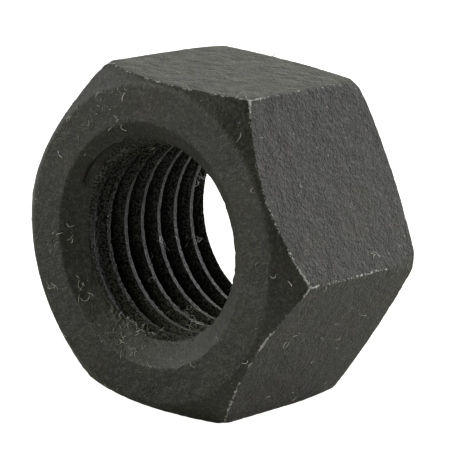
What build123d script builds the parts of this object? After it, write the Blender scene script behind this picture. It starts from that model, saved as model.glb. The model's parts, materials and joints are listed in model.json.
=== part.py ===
from build123d import *
from build123d.topology import SkipClean
import os
from math import cos, radians, tan

# A steel hex nut, M27 x 3, chamfered on both faces and countersunk at both ends of its thread.
#
# Frame, in millimetres: the thread axis is Y, the front face looks along -Y, the nut stands on one
# wrench flat with Z up, and the origin is the middle of the nut on its thread axis.
# The nut is drawn about a local Z axis with its front face up, and turned into that frame at the end.

# Hexagon
ACROSS_FLATS = 40.0
HEIGHT = 23.8
HALF_HEIGHT = HEIGHT / 2
CORNER_ROUNDING = 0.5

# Each face has a flat bearing ring. The ring's outer radius, the angle of the chamfer outside it, and
# the radius and depth of the countersink's mouth inside it. The front face is chamfered more deeply.
FRONT_RING_RADIUS = 19.5
FRONT_CHAMFER_ANGLE = 42.0
FRONT_MOUTH_RADIUS = 14.9
FRONT_MOUTH_DEPTH = 2.2
BACK_RING_RADIUS = 19.8
BACK_CHAMFER_ANGLE = 19.0
BACK_MOUTH_RADIUS = 13.1
BACK_MOUTH_DEPTH = 0.7
RING_ROUNDING = 1.2
MOUTH_ROUNDING = 0.6

# Thread: 60 degrees between its flanks, with a flat root. Its crests are what the groove leaves of
# the bore.
PITCH = 3.0
MAJOR_RADIUS = 13.5
CREST_RADIUS = 11.9
FLANK_SLOPE = tan(radians(30))
ROOT_WIDTH = PITCH / 8
# A crest crosses the -X side this far in front of the middle of the nut.
CREST_FORWARD = -2.8
# How far the groove's cutter stands out of the crests into the open bore.
CUTTER_PROUD = 0.4

# How far a cutter or an outline reaches past the surface that it meets.
SPARE = 1.0


def hexagon_bar():
    """The hexagonal bar, with a flat at +Y and one at -Y, and its long corners slightly rounded."""
    hexagon = RegularPolygon(ACROSS_FLATS / 2, 6, major_radius=False)
    rounded = fillet(hexagon.vertices(), CORNER_ROUNDING)
    return extrude(rounded, HALF_HEIGHT, both=True)


def face_profile(side, ring, chamfer_angle, mouth, mouth_depth):
    """Half the section of one face, from outside the corners to inside the crests, edges rounded."""
    rim = ACROSS_FLATS / 2 / cos(radians(30)) + SPARE
    rim_drop = (rim - ring) * tan(radians(chamfer_angle))
    inner = CREST_RADIUS - SPARE
    inner_drop = mouth_depth * (mouth - inner) / (mouth - CREST_RADIUS)
    section = make_face(
        Polyline(
            (rim, 0),
            (rim, side * (HALF_HEIGHT - rim_drop)),
            (ring, side * HALF_HEIGHT),
            (mouth, side * HALF_HEIGHT),
            (inner, side * (HALF_HEIGHT - inner_drop)),
            (inner, 0),
            close=True,
        )
    )
    for radius, rounding in ((ring, RING_ROUNDING), (mouth, MOUTH_ROUNDING)):
        corner = section.vertices().sort_by_distance((radius, side * HALF_HEIGHT))[0]
        section = fillet(corner, rounding)
    return section


def turned_outline():
    """The shape a lathe would leave: both faces with their chamfers and countersinks."""
    front = face_profile(
        1, FRONT_RING_RADIUS, FRONT_CHAMFER_ANGLE, FRONT_MOUTH_RADIUS, FRONT_MOUTH_DEPTH
    )
    back = face_profile(-1, BACK_RING_RADIUS, BACK_CHAMFER_ANGLE, BACK_MOUTH_RADIUS, BACK_MOUTH_DEPTH)
    return revolve(Plane.XZ * (front + back), Axis.Z)


def bore():
    """The bore's cutter. Its wall is in quarters, so that it leaves the long crest as short faces."""
    quarters = [CenterArc((0, 0), CREST_RADIUS, 90 * turn, 90) for turn in range(4)]
    # Turned so that no edge of its wall lies on the line where the groove's turns join.
    circle = make_face(quarters).rotate(Axis.Z, 15)
    return extrude(circle, HALF_HEIGHT + SPARE, both=True, clean=False)


def groove_turn(height):
    """One right-hand turn of the thread's groove, which starts at this height on the +X side."""
    inner = CREST_RADIUS - CUTTER_PROUD
    half_root = ROOT_WIDTH / 2
    half_mouth = half_root + (MAJOR_RADIUS - inner) * FLANK_SLOPE
    section = make_face(
        Polyline(
            (MAJOR_RADIUS, height - half_root),
            (MAJOR_RADIUS, height + half_root),
            (inner, height + half_mouth),
            (inner, height - half_mouth),
            close=True,
        )
    )
    spine = Pos(0, 0, height) * Helix(PITCH, PITCH, MAJOR_RADIUS)
    return sweep(Plane.XZ * section, path=spine, is_frenet=True)


def groove():
    """All the groove's turns, from below the back face to above the front one."""
    # Half a turn takes the groove from a crest's height to midway between two crests.
    turns_below = round(HALF_HEIGHT / PITCH) + 1
    heights = [CREST_FORWARD + PITCH * turn for turn in range(-turns_below, turns_below + 1)]
    return [groove_turn(height) for height in heights]


def hex_nut():
    """The whole nut, turned so that its front face looks along -Y."""
    nut = hexagon_bar() & turned_outline()
    # Cleaning would join the quarters of the bore up again.
    with SkipClean():
        for cutter in (bore(), *groove()):
            nut = nut.cut(cutter)
    return nut.rotate(Axis.X, 90)


os.makedirs("parts", exist_ok=True)
export_step(hex_nut(), "parts/hex_nut.step")
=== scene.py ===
import json
import random
from math import atan2, ceil, cos, exp, hypot, pi, radians, sin, sqrt, tan

import bmesh
import bpy
from mathutils import Matrix, Quaternion, Vector, noise
from mathutils.bvhtree import BVHTree


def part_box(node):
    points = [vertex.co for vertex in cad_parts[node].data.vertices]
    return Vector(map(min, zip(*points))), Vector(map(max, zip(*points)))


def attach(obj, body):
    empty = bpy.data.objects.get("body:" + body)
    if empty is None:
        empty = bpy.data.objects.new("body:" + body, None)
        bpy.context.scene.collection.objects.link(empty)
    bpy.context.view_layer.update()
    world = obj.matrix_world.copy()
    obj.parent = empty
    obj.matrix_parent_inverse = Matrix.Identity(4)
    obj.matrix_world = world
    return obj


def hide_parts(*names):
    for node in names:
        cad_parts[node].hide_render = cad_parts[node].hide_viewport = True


# Looks of a steel hex nut in matte black oxide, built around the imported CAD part.
# The frame: the thread axis is Y, the front face looks along -Y, and the nut stands on a wrench flat.
# Shapes are worked out in millimetres and made in metres.

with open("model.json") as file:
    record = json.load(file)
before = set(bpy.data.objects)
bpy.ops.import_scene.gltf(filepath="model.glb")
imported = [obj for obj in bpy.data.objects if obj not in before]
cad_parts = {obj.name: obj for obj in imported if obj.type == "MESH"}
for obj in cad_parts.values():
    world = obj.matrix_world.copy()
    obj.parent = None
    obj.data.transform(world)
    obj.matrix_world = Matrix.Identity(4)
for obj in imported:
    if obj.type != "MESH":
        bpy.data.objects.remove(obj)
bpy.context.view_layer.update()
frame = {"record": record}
MM = 0.001
BODY = "root"
NODE = "hex_nut"

# ---------------------------------------------------------------- sizes

# What the CAD part settles
low_corner, high_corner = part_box(NODE)
HALF_FLATS = (high_corner.z - low_corner.z) / 2 / MM
HALF_HEIGHT = (high_corner.y - low_corner.y) / 2 / MM
thread_mount = next(m for m in frame["record"]["mounts"] if m["name"] == "thread")
CREST_RADIUS = thread_mount["dims"]["r_mm"]

SIDES = 6
SIDE_ANGLE = 2 * pi / SIDES
CORNER_RADIUS = HALF_FLATS / cos(SIDE_ANGLE / 2)

# Each face has a flat bearing ring with a chamfer outside it and a countersink inside it. The corner
# is the rounding of the hexagon's long edges there, and the arris that of the edge under the chamfer.
FRONT = {
    "side": -1, "ring": 19.5, "chamfer": 42, "mouth": 14.9, "depth": 2.2, "corner": 0.5, "arris": 0.18
}
BACK = {
    "side": 1, "ring": 19.8, "chamfer": 17, "mouth": 13.1, "depth": 0.7, "corner": 2.5, "arris": 0.15
}
RING_ROUNDING = 1.2
MOUTH_ROUNDING = 0.6
# The roundings under the chamfers stay within this distance of them along the wall.
ARRIS_CLEAR = 0.3

# How far along its height, as a share of the half height, a long corner starts and ends its softening
SOFTENING = (0.35, 0.95)

# The thread, as in the CAD part, with its sharp edges broken
PITCH = 3.0
MAJOR_RADIUS = 13.5
ROOT_WIDTH = PITCH / 8
FLANK_SLOPE = tan(radians(30))
# A crest crosses the -X side this far behind the middle of the nut.
CREST_AT_MINUS_X = 2.8
CREST_EDGE = 0.36
ROOT_EDGE = 0.12
# The groove that starts in the front countersink is this many pitches in front of the middle one.
FIRST_TURN = 4
# Its start, in turns from there: a short deep bite opens and closes, then the groove is shallow, and
# then it deepens to its full depth.
BITE_OPENS = (0.045, 0.065)
BITE_CLOSES = (0.16, 0.22)
SHALLOW_OPENS = (0.14, 0.24)
SHALLOW_SHARE = 0.42
GROOVE_DEEPENS = (0.75, 1.7)
# How softly the thread's edges meet the countersinks
THREAD_BLEND = 0.06

# The mesh: columns to each side of the hexagon, how far they crowd towards its corners, and the steps
# in each arc and straight run of the outer section, from the front countersink to the back one
COLUMNS_PER_SIDE = 56
CROWDING = 0.78
ARC_STEPS = [5, 6, 4, 5, 5, 4]
RUN_STEPS = [1, 9, 9, 38, 8, 9, 1]
WELD_DISTANCE = 0.002


def smooth(low, high, value):
    """0 below low, 1 above high, and a smooth step between."""
    share = min(max((value - low) / (high - low), 0), 1)
    return share * share * (3 - 2 * share)


def between(start, end, share):
    return start + (end - start) * share


def off_corner(angle):
    """The angle from the nearest corner of the hexagon."""
    return (angle + SIDE_ANGLE / 2) % SIDE_ANGLE - SIDE_ANGLE / 2


# ---------------------------------------------------------------- the nut's section

def outline_radius(angle, rounding):
    """Distance from the thread axis to the hexagon's wall in this direction, its corners rounded."""
    off = off_corner(angle)
    centre = (HALF_FLATS - rounding) / cos(SIDE_ANGLE / 2)
    touch = atan2(rounding * sin(SIDE_ANGLE / 2), centre + rounding * cos(SIDE_ANGLE / 2))
    if abs(off) < touch:
        return centre * cos(off) + sqrt(rounding ** 2 - (centre * sin(off)) ** 2)
    return HALF_FLATS / cos(SIDE_ANGLE / 2 - abs(off))


def rounded(before, corner, after, radius, steps):
    """Points along the arc that rounds a corner, within 45% of the shorter of its two sides."""
    back, ahead = before - corner, after - corner
    half_turn = (pi - back.angle(ahead)) / 2
    reach = min(radius * tan(half_turn), 0.45 * back.length, 0.45 * ahead.length)
    radius = reach / tan(half_turn)
    start = corner + back.normalized() * reach
    end = corner + ahead.normalized() * reach
    inward = (back.normalized() + ahead.normalized()).normalized()
    centre = corner + inward * radius / cos(half_turn)
    spokes = [(start - centre).lerp(end - centre, step / steps) for step in range(steps + 1)]
    return [centre + spoke.normalized() * radius for spoke in spokes]


def filleted(corners, radii, arc_steps, run_steps):
    """An open line through the corners, the inner ones rounded, with points along its straight runs."""
    corners = [Vector(c) for c in corners]
    pieces = [[corners[0]]]
    for i in range(1, len(corners) - 1):
        pieces.append(rounded(*corners[i - 1:i + 2], radii[i - 1], arc_steps[i - 1]))
    pieces.append([corners[-1]])
    line = []
    for piece, following, steps in zip(pieces, pieces[1:], run_steps):
        line += piece
        for step in range(1, steps):
            # Points crowd towards both ends of a run, where the surface starts to turn.
            share = (step / steps + (1 - cos(pi * step / steps)) / 2) / 2
            line.append(piece[-1].lerp(following[0], share))
    return line + pieces[-1]


def face_corners(face, wall):
    """Corners (radius, y) of one face's section, from its countersink's inner end out to the wall."""
    drop = (wall - face["ring"]) * tan(radians(face["chamfer"]))
    return [
        (CREST_RADIUS, face["side"] * (HALF_HEIGHT - face["depth"])),
        (face["mouth"], face["side"] * HALF_HEIGHT),
        (face["ring"], face["side"] * HALF_HEIGHT),
        (wall, face["side"] * (HALF_HEIGHT - drop)),
    ]


def chamfer_edge(face, angle):
    """The point (radius, y) at this angle where a face's chamfer meets the hexagon's wall."""
    return face_corners(face, outline_radius(angle, face["corner"]))[-1]


def corner_rounding(y):
    """Rounding of the hexagon's long edges, which is small except close to the back."""
    return between(FRONT["corner"], BACK["corner"], smooth(*SOFTENING, y / HALF_HEIGHT))


def outer_section(angle):
    """Radius and y round the outside at this angle, from the front countersink to the back one."""
    front = face_corners(FRONT, outline_radius(angle, FRONT["corner"]))
    back = face_corners(BACK, outline_radius(angle, BACK["corner"]))
    front_radii = [MOUTH_ROUNDING, RING_ROUNDING, FRONT["arris"]]
    back_radii = [BACK["arris"], RING_ROUNDING, MOUTH_ROUNDING]
    line = filleted(front + back[::-1], front_radii + back_radii, ARC_STEPS, RUN_STEPS)
    wall_start, wall_end = front[-1][1] + ARRIS_CLEAR, back[-1][1] - ARRIS_CLEAR
    section = []
    # The ends of the line, inside the countersinks, belong to the bore.
    for point in line[1:-1]:
        wall = outline_radius(angle, corner_rounding(point.y))
        on_wall = wall_start < point.y < wall_end
        section.append((wall if on_wall else min(point.x, wall), point.y))
    return section


def thread_turn():
    """One pitch of the thread's section, from the middle of a groove: steps of y, and radii there."""
    groove_edge = ROOT_WIDTH / 2 + (MAJOR_RADIUS - CREST_RADIUS) * FLANK_SLOPE
    corners = [
        (0, MAJOR_RADIUS),
        (ROOT_WIDTH / 2, MAJOR_RADIUS),
        (groove_edge, CREST_RADIUS),
        (PITCH / 2, CREST_RADIUS),
    ]
    half = filleted(corners, [ROOT_EDGE, CREST_EDGE], [2, 3], [1, 4, 2])
    return half + [Vector((PITCH - p.x, p.y)) for p in half[-2:0:-1]]


TURN = thread_turn()


def section_radius(off):
    """Radius of the thread's section this far, under a pitch, from the middle of a groove."""
    for here, after in zip(TURN, TURN[1:] + [Vector((PITCH, MAJOR_RADIUS))]):
        if off <= after.x:
            return between(here.y, after.y, (off - here.x) / (after.x - here.x))
    return MAJOR_RADIUS


def groove_middle(angle):
    """A height y at which the middle of the right-hand groove passes this angle."""
    return CREST_AT_MINUS_X - PITCH / 2 - PITCH * (angle - pi) / (2 * pi)


def turns_from_front(angle, y):
    """How many turns the groove nearest to this point has made since it left the front countersink."""
    turn = round((y - groove_middle(angle)) / PITCH)
    return turn + FIRST_TURN - (angle - pi) / (2 * pi)


def groove_share(turns):
    """How much of the groove's full depth is cut, which is little over most of the first turn."""
    bite = smooth(*BITE_OPENS, turns) * (1 - smooth(*BITE_CLOSES, turns))
    shallow = SHALLOW_SHARE * smooth(*SHALLOW_OPENS, turns)
    return max(bite, shallow, smooth(*GROOVE_DEEPENS, turns))


def cleanly_cut(angle, y):
    """1 where the thread is cleanly cut, and 0 in its ragged first turns, longest at the top."""
    turn = (y - groove_middle(angle)) / PITCH
    clear_at_left = smooth(radians(150), radians(170), angle)
    clear_at_right = 2 - 2 * smooth(0, radians(70), angle)
    return smooth(-1.2, -0.9, turn + clear_at_left + clear_at_right)


def soft_max(a, b, width):
    """The larger of two lengths, blended where they are close, which breaks the edge between them."""
    near = max(width - abs(a - b), 0) / width
    return max(a, b) + near * near * width / 4


def plain_radius(y):
    """Radius of the bore and its countersinks at this y, before the thread is cut."""
    cones = []
    for face in (FRONT, BACK):
        depth = HALF_HEIGHT - y * face["side"]
        cones.append(face["mouth"] - depth * (face["mouth"] - CREST_RADIUS) / face["depth"])
    return max(*cones, CREST_RADIUS)


def bore_radius(angle, y):
    thread = section_radius((y - groove_middle(angle)) % PITCH)
    cut = (thread - CREST_RADIUS) * groove_share(turns_from_front(angle, y))
    return soft_max(plain_radius(y), CREST_RADIUS + cut, THREAD_BLEND)


def bore_section(angle, front_y, back_y):
    """Radius and y through the bore at this angle, from back to front. Its points follow the helix."""
    turns = ceil(HALF_HEIGHT / PITCH) + 1
    middles = [groove_middle(angle) + turn * PITCH for turn in range(-turns, turns + 1)]
    heights = [middle + point.x for middle in middles for point in TURN]
    kept = [min(max(y, front_y), back_y) for y in reversed(heights)]
    return [(bore_radius(angle, y), y) for y in kept]


# ---------------------------------------------------------------- the nut's mesh

def column_angles():
    """Angles of the mesh's columns, crowded at the hexagon's corners, from 0 to a full turn."""
    shares = [step / COLUMNS_PER_SIDE for step in range(COLUMNS_PER_SIDE)]
    crowded = [share - CROWDING * sin(2 * pi * share) / (2 * pi) for share in shares]
    return [SIDE_ANGLE * (corner + share) for corner in range(SIDES) for share in crowded] + [2 * pi]


def nut_mesh():
    """The nut as a grid of columns round the axis and rows round its section."""
    angles = column_angles()
    outers = [outer_section(angle) for angle in angles]
    front_y, back_y = outers[0][0][1], outers[0][-1][1]
    vertices = []
    for angle, outer in zip(angles, outers):
        section = outer + bore_section(angle, front_y, back_y)
        vertices += [(r * cos(angle) * MM, y * MM, r * sin(angle) * MM) for r, y in section]
    rows = len(vertices) // len(angles)
    faces = []
    for column in range(len(angles) - 1):
        here, beside = column * rows, (column + 1) * rows
        for row in range(rows):
            after = (row + 1) % rows
            faces.append((here + row, beside + row, beside + after, here + after))
    mesh = bpy.data.meshes.new("nut_body")
    mesh.from_pydata(vertices, [], faces)
    return mesh


def weld(mesh):
    """Joins the points that lie together, and turns every face outwards."""
    work = bmesh.new()
    work.from_mesh(mesh)
    bmesh.ops.remove_doubles(work, verts=work.verts, dist=WELD_DISTANCE * MM)
    bmesh.ops.recalc_face_normals(work, faces=work.faces)
    for face in work.faces:
        face.smooth = True
    work.to_mesh(mesh)
    work.free()


# Worn stretches of the front edges: middle in millimetres, reach and strength
WORN = [
    ((22.3, -9.8, 2.2), 3.2, 0.85),
    ((23.0, -8.6, 0.0), 1.8, 1.0),
    ((23.0, 1.4, 0.0), 2.2, 0.8),
    ((22.9, 4.8, 0.0), 2.2, 0.66),
    ((18.8, -10.9, -7.2), 2.0, 1.0),
    ((16.9, -10.8, -10.6), 1.0, 0.8),
    ((13.8, -10.0, -16.0), 4.5, 0.7),
    ((11.8, -8.0, 19.8), 2.4, 1.0),
    ((11.6, 7.5, 19.8), 1.6, 0.6),
    ((-11.5, -8.9, 20.0), 1.8, 0.8),
]
# How far wear reaches from an edge, and how worn the edges are elsewhere, on average and in patches
WEAR_REACH = 0.25
WEAR_LEVEL = 0.42
WEAR_PATCHES = 0.4


def edge_distance(radius, angle, y):
    """Distance from a point of the outside to the nearest edge of a wrench flat."""
    off = off_corner(angle)
    long_edge = hypot(radius * cos(off) - CORNER_RADIUS, radius * sin(off))
    ends = [chamfer_edge(face, angle) for face in (FRONT, BACK)]
    arcs = [hypot(radius - wall, y - height) for wall, height in ends]
    return min(long_edge, *arcs)


def edge_wear(point, radius, angle):
    """How worn this point of the nut is, from 0 to 1: only close to an edge, and in stretches."""
    near = exp(-(edge_distance(radius, angle, point.y) / WEAR_REACH) ** 2)
    if near < 0.01:
        return 0
    patchy = WEAR_LEVEL + WEAR_PATCHES * noise.noise(point * 0.3 + Vector((7, 3, 1)))
    for middle, reach, strength in WORN:
        patchy = max(patchy, strength * (1 - smooth(0.5, 1.2, (point - Vector(middle)).length / reach)))
    return near * patchy


# How deeply the corners of each face are knocked back, and how far from their tips that reaches
BLUNTED = [(FRONT, 0.16, 0.6), (BACK, 0.12, 1.0)]


def blunting(point, radius, angle):
    """How far the surface is knocked back here, in millimetres, being close to a corner's tip."""
    off = off_corner(angle)
    blunted = 0
    for face, depth, reach in BLUNTED:
        tip_radius, tip_y = chamfer_edge(face, 0)
        far = Vector((radius * cos(off) - tip_radius, radius * sin(off), point.y - tip_y)).length
        blunted += depth * exp(-(far / reach) ** 2)
    return blunted


# Unevenness of the outside and of the bore: lumps in a millimetre, and their height in millimetres
FORGED = [(0.16, 0.05), (0.7, 0.012)]
TAPPED = [(1.9, 0.07), (4.3, 0.055)]
NICK_DEPTH = 0.22
# How uneven the ragged first turns and the crests are, against the rest of the bore
RAGGED_SHARE = 1.6
CREST_SHARE = 0.55


def unevenness(point, layers):
    return sum(noise.noise(point * lumps) * height for lumps, height in layers)


def relief(point, radius, angle, wear):
    """How far the outside stands out at this point, in millimetres, from forging, nicks and knocks."""
    nicks = max(noise.noise(point * 1.3) + 0.15, 0) * wear * NICK_DEPTH
    return unevenness(point, FORGED) - nicks - blunting(point, radius, angle)


def bore_relief(point, clean, crest):
    """The same inside the bore, where the first turns are ragged and the crests are cleaner."""
    share = between(RAGGED_SHARE, between(1.0, CREST_SHARE, crest), clean)
    return unevenness(point, TAPPED) * share


# What the nut's points tell its material, each from 0 to 1
MARKS = ("wall", "wear", "bore", "crest", "groove", "ragged")

# The bore: its widest radius, how far inside the front and the back face it starts, and the heights
# between which its painted light and shade fade in
BORE_REACH = MAJOR_RADIUS + 0.2
BORE_START = 1.75 - HALF_HEIGHT
BORE_END = HALF_HEIGHT - 0.35
BORE_SHADING_FADES = (-10.0, -9.5)
# Over which depths below the crests the painted shade of the groove fades in, and the crests end
GROOVE_SHADE_STARTS = (0.4, 1.45)
CREST_ENDS = (0.0, 0.08)
# How far, as its normal's share of Y, a surface may lean and still belong to a wrench flat
WALL_LEAN = (0.1, 0.4)


def surface_of(point, normal):
    """The marks of this point of the nut, and how far the surface stands out there."""
    radius, angle = hypot(point.x, point.z), atan2(point.z, point.x) % (2 * pi)
    marks = dict.fromkeys(MARKS, 0)
    marks["wall"] = 1 - smooth(*WALL_LEAN, abs(normal.y))
    if radius < BORE_REACH and BORE_START < point.y < BORE_END:
        clean = cleanly_cut(angle, point.y)
        depth = radius - plain_radius(point.y)
        # Painted shade, blackest at the bottom of the groove
        marks["groove"] = smooth(*GROOVE_SHADE_STARTS, depth)
        # Where the bore's painted light and shade go
        marks["bore"] = smooth(*BORE_SHADING_FADES, point.y)
        # The crests: smoother, and given a painted sheen
        marks["crest"] = (1 - smooth(*CREST_ENDS, depth)) * clean
        marks["ragged"] = (1 - clean) * marks["bore"]
        return marks, bore_relief(point, clean, marks["crest"])
    marks["wear"] = edge_wear(point, radius, angle)
    return marks, relief(point, radius, angle, marks["wear"])


def shape_surface(mesh):
    """Gives the nut its small unevenness, and leaves marks on its points for its material."""
    found = [surface_of(vertex.co / MM, vertex.normal) for vertex in mesh.vertices]
    moved = [v.co + v.normal * out * MM for v, (_, out) in zip(mesh.vertices, found)]
    for vertex, place in zip(mesh.vertices, moved):
        vertex.co = place
    for name in MARKS:
        values = [marks[name] for marks, _ in found]
        mesh.attributes.new(name, "FLOAT", "POINT").data.foreach_set("value", values)


# ---------------------------------------------------------------- materials

class Nodes:
    """Builds the node tree of one new material."""

    def __init__(self, name):
        self.material = bpy.data.materials.new(name)
        self.material.use_nodes = True
        self.tree = self.material.node_tree
        self.shader = self.tree.nodes["Principled BSDF"]
        self.place = self.add("TexCoord").outputs["Object"]

    def add(self, kind, inputs=None, **settings):
        node = self.tree.nodes.new("ShaderNode" + kind)
        for name, value in settings.items():
            setattr(node, name, value)
        for name, value in (inputs or {}).items():
            self.set(node.inputs[name], value)
        return node

    def set(self, socket, value):
        if isinstance(value, bpy.types.NodeSocket):
            self.tree.links.new(value, socket)
        else:
            socket.default_value = value

    def noise(self, size_mm, detail=2.0, roughness=0.5):
        """Noise whose lumps are about this many millimetres across."""
        inputs = {"Scale": 1 / (size_mm * MM), "Detail": detail, "Roughness": roughness}
        return self.add("TexNoise", {"Vector": self.place, **inputs}).outputs["Fac"]

    def cells(self, size_mm):
        """Distance from the middle of the nearest random cell, in cells, and a random grey for it."""
        node = self.add("TexVoronoi", {"Vector": self.place, "Scale": 1 / (size_mm * MM)})
        return node.outputs["Distance"], node.outputs["Color"]

    def attribute(self, name):
        return self.add("Attribute", attribute_name=name).outputs["Fac"]

    def step(self, value, low, high, to_low=0.0, to_high=1.0):
        """A smooth step of a value from one number to another."""
        given, wanted = {"From Min": low, "From Max": high}, {"To Min": to_low, "To Max": to_high}
        inputs = {"Value": value, **given, **wanted}
        return self.add("MapRange", inputs, interpolation_type="SMOOTHSTEP").outputs["Result"]

    def math(self, operation, a, b):
        return self.add("Math", {0: a, 1: b}, operation=operation).outputs[0]

    def scaled(self, value, factor):
        return self.math("MULTIPLY", value, factor)

    def mix(self, share, a, b):
        return self.add("Mix", {0: share, 6: a, 7: b}, data_type="RGBA").outputs[2]

    def bump(self, height, depth_mm):
        inputs = {"Height": height, "Strength": 1.0, "Distance": depth_mm * MM}
        return self.add("Bump", inputs).outputs["Normal"]


# Colours of the black oxide, from its plain surface to the steel under it, and the painted light and
# shade of its thread
DARK_OXIDE = (0.024, 0.024, 0.0215, 1)
LIGHT_OXIDE = (0.039, 0.039, 0.036, 1)
BROWN_OXIDE = (0.042, 0.038, 0.031, 1)
PIT = (0.004, 0.004, 0.0035, 1)
GRAIN = (0.075, 0.075, 0.07, 1)
# Painted shade: black where the thread's groove and flanks lie in shade
PAINTED_SHADE_BLACK = (0.002, 0.002, 0.002, 1)
# Painted light: grey for the lit grains of the thread's flanks
FLANK_PAINTED_LIGHT = (0.15, 0.15, 0.145, 1)
# Painted shade and painted light over the grain of the ragged first turns
RAGGED_PAINTED_SHADE = (0.003, 0.003, 0.003, 1)
RAGGED_PAINTED_LIGHT = (0.13, 0.13, 0.12, 1)
# Painted sheen: the paler grey of the thread's crests
CREST_PAINTED_SHEEN = (0.05, 0.05, 0.048, 1)
SPECK = (0.3, 0.3, 0.285, 1)
BARE_STEEL = (0.55, 0.55, 0.55, 1)


def oxide_tone(nodes, pits, grains, blotches):
    """The finish's own colour: blotched, a little brown in places, with black pits and pale grains."""
    clouds = nodes.noise(9.0, detail=2)
    tone = nodes.mix(nodes.step(blotches, 0.35, 0.65), DARK_OXIDE, LIGHT_OXIDE)
    tone = nodes.mix(nodes.step(clouds, 0.42, 0.68, 0, 0.8), tone, BROWN_OXIDE)
    tone = nodes.mix(nodes.step(pits, 0.32, 0.58, 0.85, 0), tone, PIT)
    return nodes.mix(nodes.step(grains, 0.48, 0.68, 0, 0.7), tone, GRAIN)


def thread_tone(nodes, tone, coarse, crest):
    """The thread's painted light and shade: grainy black and grey, blackest at the bottom of its
    groove, with a painted sheen on its crests.
    """
    flank = nodes.mix(coarse, PAINTED_SHADE_BLACK, FLANK_PAINTED_LIGHT)
    ragged = nodes.mix(coarse, RAGGED_PAINTED_SHADE, RAGGED_PAINTED_LIGHT)
    # The bore's grainy painted light and shade: black for shade, grey for light
    tone = nodes.mix(nodes.scaled(nodes.attribute("bore"), 0.85), tone, flank)
    # The same painted light and shade in the ragged first turns
    tone = nodes.mix(nodes.scaled(nodes.attribute("ragged"), 0.9), tone, ragged)
    # Painted shade at the bottom of the groove
    tone = nodes.mix(nodes.attribute("groove"), tone, PAINTED_SHADE_BLACK)
    patchy = nodes.step(nodes.noise(0.5, detail=2), 0.35, 0.65, 0.3, 1)
    # Painted sheen on the crests, in patches
    return nodes.mix(nodes.math("MULTIPLY", crest, patchy), tone, CREST_PAINTED_SHEEN)


def speck_share(nodes, coarse):
    """Where small pale specks of dust lie: ragged dots in the middle of some random cells."""
    distance, grey = nodes.cells(0.8)
    chosen = nodes.step(grey, 0.62, 0.95)
    distance = nodes.math("ADD", distance, nodes.scaled(coarse, 0.12))
    speck = nodes.math("MULTIPLY", nodes.step(distance, 0.24, 0.1), chosen)
    return nodes.scaled(speck, 0.8)


def bare_share(nodes):
    """Where the finish is worn off: on the worn edges, broken up by scuffs."""
    scuffs = nodes.scaled(nodes.noise(0.42, detail=3, roughness=0.75), 2.6)
    return nodes.step(nodes.math("ADD", nodes.attribute("wear"), scuffs), 1.75, 2.1)


def black_oxide():
    """Matte black oxide: finely pitted, blotchy, with pale specks, worn to steel on its edges, and with
    painted light and shade in its thread.
    """
    nodes = Nodes("black_oxide")
    pits = nodes.noise(0.23, detail=2, roughness=0.6)
    grains = nodes.noise(0.45, detail=2, roughness=0.55)
    blotches = nodes.noise(2.2, detail=3)
    coarse = nodes.step(nodes.noise(0.27, detail=2, roughness=0.7), 0.42, 0.62)
    crest = nodes.attribute("crest")
    bare = bare_share(nodes)

    tone = oxide_tone(nodes, pits, grains, blotches)
    tone = thread_tone(nodes, tone, coarse, crest)
    tone = nodes.mix(speck_share(nodes, coarse), tone, SPECK)
    tone = nodes.mix(bare, tone, BARE_STEEL)

    rough = nodes.step(blotches, 0.3, 0.7, 0.47, 0.58)
    rough = nodes.math("SUBTRACT", rough, nodes.scaled(crest, 0.12))
    rough = nodes.math("SUBTRACT", rough, nodes.scaled(bare, 0.12))
    # The bore reflects little, except on its crests.
    dull = nodes.math("SUBTRACT", nodes.attribute("bore"), crest)
    # The wrench flats are rougher than the faces and the chamfers.
    height = nodes.math("ADD", nodes.math("ADD", pits, grains), nodes.scaled(blotches, 2.5))
    height = nodes.math("MULTIPLY", height, nodes.step(nodes.attribute("wall"), 0, 1, 0.3, 1))

    nodes.set(nodes.shader.inputs["Base Color"], tone)
    nodes.set(nodes.shader.inputs["Roughness"], rough)
    nodes.set(nodes.shader.inputs["Specular IOR Level"], nodes.step(dull, 0, 1, 0.5, 0.12))
    nodes.set(nodes.shader.inputs["Normal"], nodes.bump(height, 0.27))
    return nodes.material


FIBRE_GREY = (0.24, 0.24, 0.22, 1)
FIBRE_WHITE = (0.85, 0.84, 0.8, 1)


def pale_fibre():
    """The off-white of cotton lint, a little darker here and there."""
    nodes = Nodes("pale_fibre")
    patches = nodes.step(nodes.noise(1.6), 0.4, 0.6)
    tone = nodes.mix(patches, FIBRE_GREY, FIBRE_WHITE)
    nodes.set(nodes.shader.inputs["Base Color"], tone)
    nodes.set(nodes.shader.inputs["Roughness"], nodes.step(nodes.noise(0.3), 0.3, 0.7, 0.7, 0.9))
    return nodes.material


def place_on_nut(mesh, name, material):
    """Puts a finished mesh into the scene as a piece of the nut."""
    piece = bpy.data.objects.new(name, mesh)
    bpy.context.scene.collection.objects.link(piece)
    mesh.materials.append(material)
    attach(piece, BODY)
    return piece


# ---------------------------------------------------------------- lint

LINT_SEED = 27
FIBRE_STEP = 0.11
FIBRE_SIDES = 4
# The least, the greatest and the likeliest length and radius of a fibre
FIBRE_LENGTH = (0.2, 2.3, 0.3)
FIBRE_RADIUS = (0.016, 0.052, 0.024)
# How far a fibre's ends are off the surface, and how high its middle may arch, as a share of its length
FIBRE_LIFT = (0.02, 0.06)
FIBRE_ARCHES = (0, 0, 0.15, 0.45)
FIBRE_BEND = 1.6
FIBRE_WANDER = 0.7
# How far every fibre stays above the floor
FLOOR_CLEAR = 0.3

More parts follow.
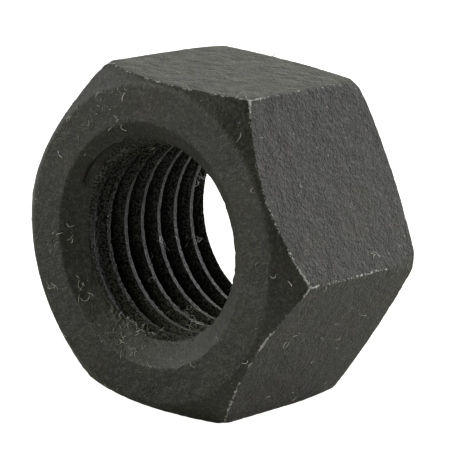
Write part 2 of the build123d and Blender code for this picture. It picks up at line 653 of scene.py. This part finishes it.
# Where lint lies: a middle and a reach that random places are drawn from, and how many fibres.
# Lengths are in millimetres.
LINT = [
    ((0, -11.9, 0), 24, 75),
    ((0, 0, 20), 16, 14),
    ((20, 0, 4), 16, 10),
    ((18, 0, -14), 12, 8),
    ((-9.0, -11.9, 15.5), 4.5, 18),
    ((-13.5, -11.9, 11.0), 4.0, 8),
    ((-14.0, -11.4, -2.1), 1.5, 7),
    ((-11.4, -11.2, -8.2), 1.2, 10),
    ((-15.5, -11.9, -9.2), 1.2, 5),
    ((-3.0, -10.3, -12.2), 2.6, 64),
    ((-1.5, -0.5, -10.5), 2.8, 90),
    ((-7.6, -2.5, -9.1), 2.0, 9),
    ((-10.8, 3.5, -5.0), 1.2, 14),
    ((-10.7, 8.0, -5.0), 1.0, 5),
    ((-11.6, 9.8, 2.4), 1.2, 12),
    ((22.1, 4.0, 1.7), 0.5, 6),
    ((14.4, 9.1, 15.1), 0.4, 4),
    ((18.5, -6.1, -8.0), 0.8, 4),
    ((0, 11.9, 0), 26, 40),
]


def fibre_path(tree, start, draw):
    """Points of a short curled fibre lying on the surface, or none where it would touch the floor."""
    point, normal, _, _ = tree.find_nearest(start)
    heading = Vector([draw.gauss(0, 1) for _ in range(3)])
    length = draw.triangular(*FIBRE_LENGTH)
    bend = draw.gauss(0, FIBRE_BEND)
    lift = draw.uniform(*FIBRE_LIFT)
    arch = draw.choice(FIBRE_ARCHES) * length
    path = []
    steps = max(round(length / FIBRE_STEP), 3)
    for step in range(steps):
        point, normal, _, _ = tree.find_nearest(point)
        bend += draw.gauss(0, FIBRE_WANDER)
        heading = (heading - normal * heading.dot(normal)).normalized()
        heading = Quaternion(normal, bend * FIBRE_STEP) @ heading
        path.append(point + normal * (lift + arch * sin(pi * step / steps)))
        point = point + heading * FIBRE_STEP
    lowest = min(p.z for p in path)
    return path if lowest > FLOOR_CLEAR - HALF_FLATS else []


def add_tube(path, radius, vertices, faces):
    """Adds a thin tube along the path, tapered towards both ends."""
    first = len(vertices)
    for i, point in enumerate(path):
        along = path[min(i + 1, len(path) - 1)] - path[max(i - 1, 0)]
        side = along.orthogonal().normalized()
        up = along.cross(side).normalized()
        thickness = radius * (0.4 + 0.6 * sin(pi * (i + 0.5) / len(path)))
        for corner in range(FIBRE_SIDES):
            turn = 2 * pi * corner / FIBRE_SIDES
            vertices.append(point + (side * cos(turn) + up * sin(turn)) * thickness)
    for i in range(len(path) - 1):
        here, ahead = first + i * FIBRE_SIDES, first + (i + 1) * FIBRE_SIDES
        for corner in range(FIBRE_SIDES):
            after = (corner + 1) % FIBRE_SIDES
            faces.append((here + corner, here + after, ahead + after, ahead + corner))
    faces.append(tuple(first + corner for corner in reversed(range(FIBRE_SIDES))))
    faces.append(tuple(len(vertices) - FIBRE_SIDES + corner for corner in range(FIBRE_SIDES)))


def lint_mesh(body):
    """Curled fibres caught on the nut, most of them on its front and at the foot of its bore."""
    draw = random.Random(LINT_SEED)
    corners = [vertex.co / MM for vertex in body.vertices]
    tree = BVHTree.FromPolygons(corners, [tuple(face.vertices) for face in body.polygons])
    vertices, faces = [], []
    for middle, reach, count in LINT:
        for _ in range(count):
            start = Vector(middle) + Vector([draw.uniform(-reach, reach) for _ in range(3)])
            path = fibre_path(tree, start, draw)
            radius = draw.triangular(*FIBRE_RADIUS)
            if path:
                add_tube(path, radius, vertices, faces)
    mesh = bpy.data.meshes.new("lint")
    mesh.from_pydata([v * MM for v in vertices], [], faces)
    return mesh


body_mesh = nut_mesh()
weld(body_mesh)
shape_surface(body_mesh)
nut = place_on_nut(body_mesh, "nut_body", black_oxide())
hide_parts(NODE)
place_on_nut(lint_mesh(body_mesh), "lint", pale_fibre())

# ---------------------------------------------------------------- floor, light and camera

FLOOR_REACH = 6.0
FLOOR_TINT = (0.74, 0.73, 0.69, 1)
FLOOR_GLOW = 0.92
WHITE = (1, 1, 1, 1)


def make_floor():
    """A plain pale table top under the nut."""
    mesh = bpy.data.meshes.new("floor")
    z = low_corner.z
    corners = [(-1, -1), (1, -1), (1, 1), (-1, 1)]
    mesh.from_pydata([(x * FLOOR_REACH, y * FLOOR_REACH, z) for x, y in corners], [], [(0, 1, 2, 3)])
    table = bpy.data.objects.new("floor", mesh)
    bpy.context.scene.collection.objects.link(table)
    nodes = Nodes("pale_floor")
    nodes.shader.inputs["Base Color"].default_value = FLOOR_TINT
    nodes.shader.inputs["Roughness"].default_value = 0.9
    nodes.shader.inputs["Specular IOR Level"].default_value = 0.1
    # The floor's glow is only seen: it adds nothing to the light that falls on the nut.
    glow = nodes.math("MULTIPLY", nodes.add("LightPath").outputs["Is Camera Ray"], FLOOR_GLOW)
    nodes.shader.inputs["Emission Color"].default_value = WHITE
    nodes.set(nodes.shader.inputs["Emission Strength"], glow)
    mesh.materials.append(nodes.material)


def direction(azimuth, elevation):
    """Unit vector from the nut towards a place round it. Azimuth 0 is in front and 90 is at +X."""
    a, e = radians(azimuth), radians(elevation)
    return Vector((sin(a) * cos(e), -cos(a) * cos(e), sin(e)))


CAMERA_AZIMUTH = 40.9
CAMERA_ELEVATION = 15.4
CAMERA_ROLL = 4.4
CAMERA_DISTANCE = 0.3703
CAMERA_AIM = Vector((0.8, 1.0, 0.76)) * MM
CAMERA_LENS = 242.1


def make_camera():
    data = bpy.data.cameras.new("camera")
    data.lens = CAMERA_LENS
    data.clip_start = 0.01
    camera = bpy.data.objects.new("camera", data)
    bpy.context.scene.collection.objects.link(camera)
    back = direction(CAMERA_AZIMUTH, CAMERA_ELEVATION)
    roll = Matrix.Rotation(radians(CAMERA_ROLL), 3, "Z").to_quaternion()
    camera.rotation_mode = "QUATERNION"
    camera.rotation_quaternion = back.to_track_quat("Z", "Y") @ roll
    camera.location = CAMERA_AIM + back * CAMERA_DISTANCE
    bpy.context.scene.camera = camera


# Soft lamps round the nut, each this many degrees across
LAMP_SPREAD = 46
# Azimuth, elevation, strength and tint
LAMPS = {
    "right_back": (140, 16, 1.83, (0.93, 0.92, 1)),
    "back_high": (173, 38, 1.30, (0.99, 1, 0.99)),
    "back_left": (216, 12, 0.71, (0.98, 1, 0.88)),
    "left": (288, 12, 1.04, (1, 0.98, 1)),
    "left_front": (324, 12, 0.54, (0.97, 0.97, 1)),
    "left_front_high": (326, 38, 0.71, (0.93, 1, 0.68)),
}


# A smaller lamp close to the corner at +X, so that the two flats there are brightest where they meet
NEAR_AZIMUTH = 114
NEAR_ELEVATION = 13
NEAR_DISTANCE = 0.070
NEAR_WIDTH = 0.055
NEAR_WATTS = 0.0095
NEAR_TINT = (0.98, 0.99, 0.78)


def place_lamp(light, toward):
    """Puts a light into the scene, shining on the nut from this direction."""
    lamp = bpy.data.objects.new(light.name, light)
    bpy.context.scene.collection.objects.link(lamp)
    lamp.rotation_mode = "QUATERNION"
    lamp.rotation_quaternion = toward.to_track_quat("Z", "Y")
    return lamp


def make_lamps():
    for name, (azimuth, elevation, strength, tint) in LAMPS.items():
        light = bpy.data.lights.new(name, "SUN")
        light.angle = radians(LAMP_SPREAD)
        light.energy = strength
        light.color = tint
        place_lamp(light, direction(azimuth, elevation))
    near = bpy.data.lights.new("right_near", "AREA")
    near.shape = "DISK"
    near.size = NEAR_WIDTH
    near.energy = NEAR_WATTS
    near.color = NEAR_TINT
    toward = direction(NEAR_AZIMUTH, NEAR_ELEVATION)
    lamp = place_lamp(near, toward)
    lamp.location = toward * NEAR_DISTANCE
    lamp.visible_camera = False


def make_world():
    """A white surround that is seen behind the nut but adds no light of its own."""
    world = bpy.data.worlds.new("studio")
    bpy.context.scene.world = world
    world.use_nodes = True
    background = world.node_tree.nodes["Background"]
    background.inputs["Color"].default_value = WHITE
    path = world.node_tree.nodes.new("ShaderNodeLightPath")
    world.node_tree.links.new(path.outputs["Is Camera Ray"], background.inputs["Strength"])
    bpy.context.scene.view_settings.view_transform = "Standard"


make_floor()
make_camera()
make_lamps()
make_world()
